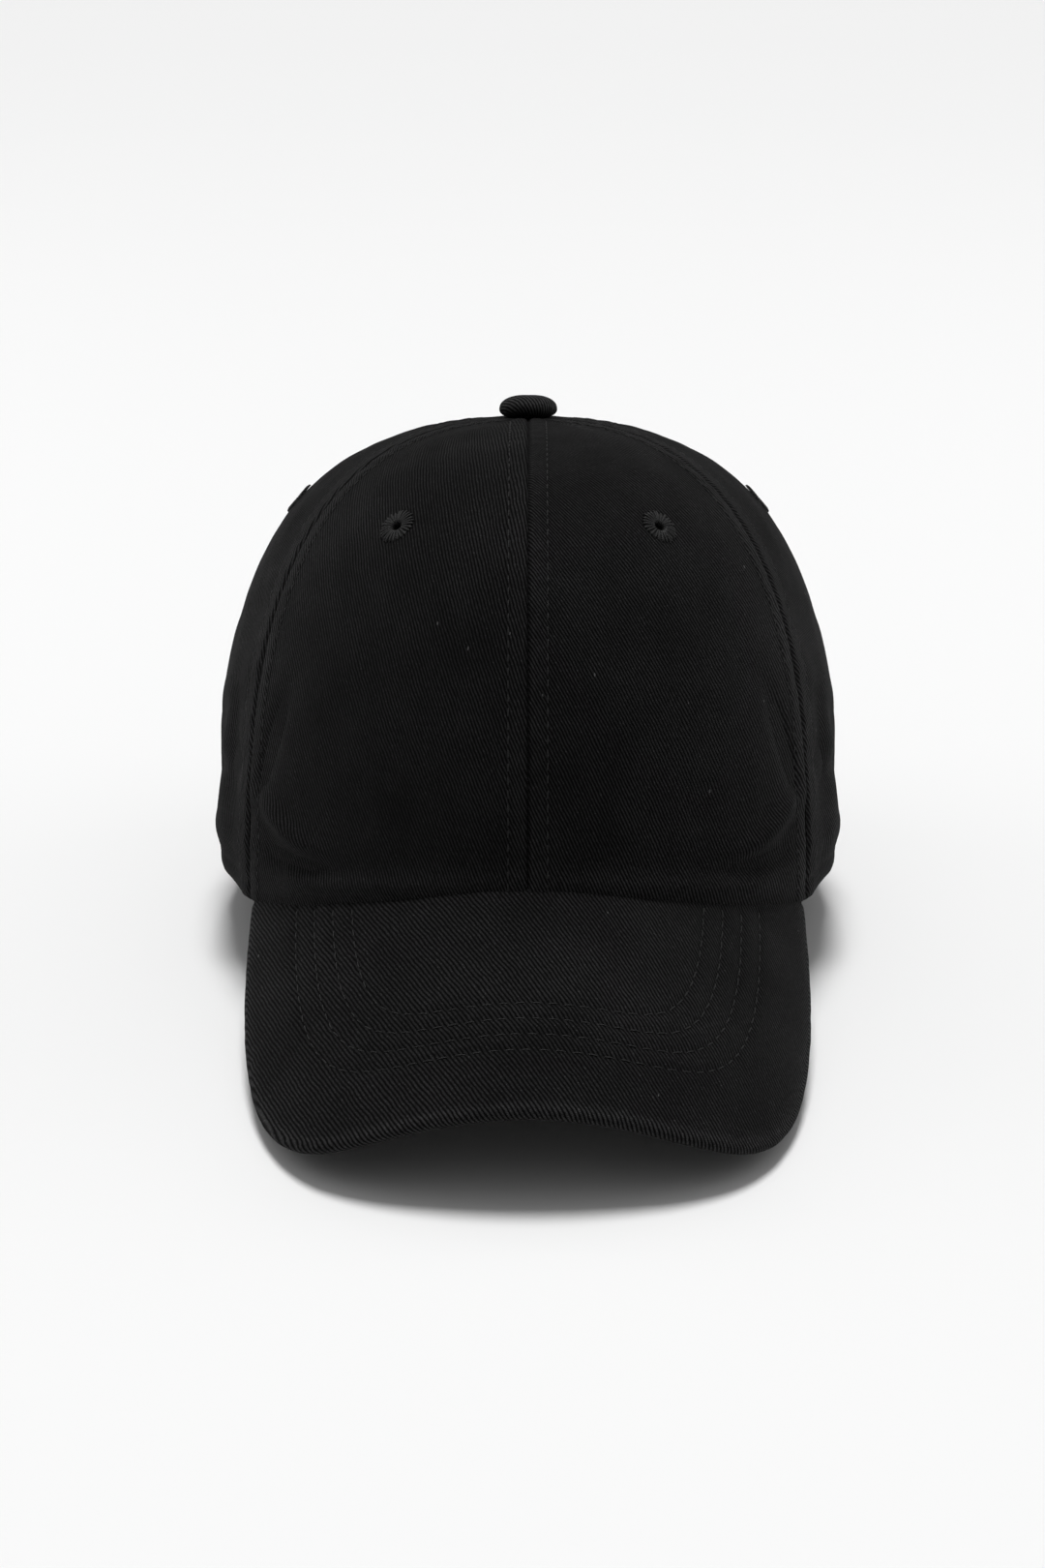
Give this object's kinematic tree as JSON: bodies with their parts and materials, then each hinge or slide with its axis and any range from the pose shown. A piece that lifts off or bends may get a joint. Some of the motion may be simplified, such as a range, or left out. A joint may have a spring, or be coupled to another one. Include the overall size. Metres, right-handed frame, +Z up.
{
  "type": "baseball cap",
  "caption": "Baseball cap of washed black cotton twill, with a curved stitched visor, a covered button and a buckled back strap.",
  "frame": {"origin": "on the table, under the middle of the cap's box, with the cap resting on its visor corners and the back corners of its rim", "axes": "+Z up; the visor points along -Y, the back strap is at +Y, and the wearer's left is +X"},
  "size_m": [0.177, 0.2692, 0.1449],
  "materials": {
    "twill": "washed black cotton twill, matte",
    "visor_twill": "washed black cotton twill, matte, lightly worn at the edge",
    "thread": "black polyester embroidery thread, slight sheen",
    "buckram": "stiff black woven buckram, matte",
    "tape": "black plain-weave cotton tape, matte",
    "sweatband": "black cotton sweatband, matte",
    "foam": "soft grey foam padding",
    "visor_board": "flexible polyethylene board",
    "button_shell": "pressed aluminium, bare",
    "button_core": "black moulded plastic",
    "buckle_metal": "antique brass, satin, worn bright at the edges"
  },
  "bodies": {
    "crown": {"front_panel_left": "twill", "eyelet_front_left": "thread", "front_buckram_left": "buckram", "front_panel_right": "twill", "eyelet_front_right": "thread", "front_buckram_right": "buckram", "side_panel_left": "twill", "eyelet_side_left": "thread", "side_panel_right": "twill", "eyelet_side_right": "thread", "rear_panel_left": "twill", "eyelet_rear_left": "thread", "rear_panel_right": "twill", "eyelet_rear_right": "thread", "seam_tape_front_left": "tape", "seam_tape_front_right": "tape", "seam_tape_rear_left": "tape", "seam_tape_rear_right": "tape", "seam_tape_front_centre": "tape", "seam_tape_back_centre": "tape", "sweatband": "sweatband", "sweatband_foam": "foam", "arch_facing": "tape", "button_cover": "twill", "button_shell": "button_shell", "button_core": "button_core", "button_rivet": "button_shell", "button_washer": "button_shell", "visor_top_cover": "visor_twill", "visor_bottom_cover": "visor_twill", "visor_board": "visor_board", "strap_tab": "twill", "buckle_frame": "buckle_metal", "buckle_pin": "buckle_metal"},
    "strap": {"strap": "twill"},
    "lever": {"buckle_lever": "buckle_metal"}
  },
  "joints": [
    {"name": "strap_slide", "type": "hinge", "parent": "crown", "child": "strap", "pos_m": [0, 0.04401, 0.02979], "axis": [0, 0.1988, 0.98], "range_deg": [-15, 15]},
    {"name": "buckle_lever_hinge", "type": "hinge", "parent": "crown", "child": "lever", "pos_m": [-0.01056, 0.12961, 0.01243], "axis": [0, -0.1988, -0.98], "range_deg": [0, 100]}
  ]
}
